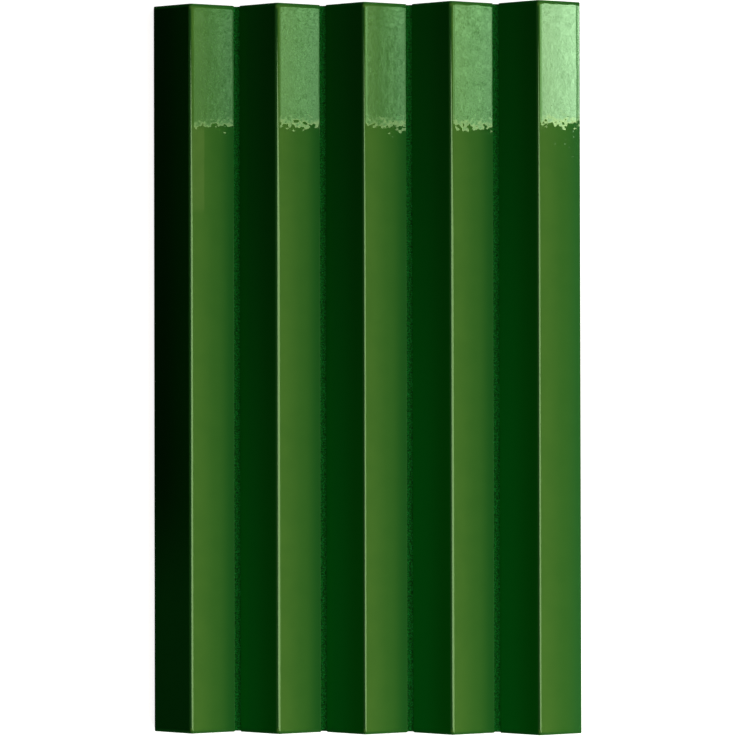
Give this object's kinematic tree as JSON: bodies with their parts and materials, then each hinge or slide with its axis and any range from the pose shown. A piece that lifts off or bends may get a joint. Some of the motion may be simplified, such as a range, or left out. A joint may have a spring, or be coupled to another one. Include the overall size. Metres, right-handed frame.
{
  "type": "triangle mosaic tile",
  "caption": "Sheet of relief mosaic tile: long glazed bars of triangular section side by side, rough filled joints between them and a mesh glued on the back, bedded flat as wall cladding.",
  "frame": {"origin": "middle of the underside of the sheet, where the lower strands of the mesh lie on the floor", "axes": "+Z out of the tiled face, ridges up; +Y along the bars; +X across them"},
  "size_m": [0.185, 0.315, 0.0162],
  "materials": {
    "glaze": "glossy transparent green glaze over a fired body, unglazed on the back",
    "filling": "rough, fine-grained, dark green cement filling",
    "scrim": "off-white laid strands stiffened with glue"
  },
  "bodies": {
    "root": {"bar_1": "glaze", "bar_2": "glaze", "bar_3": "glaze", "bar_4": "glaze", "bar_5": "glaze", "filling_1": "filling", "filling_2": "filling", "filling_3": "filling", "filling_4": "filling", "scrim_lengthwise": "scrim", "scrim_crosswise": "scrim"}
  },
  "joints": []
}
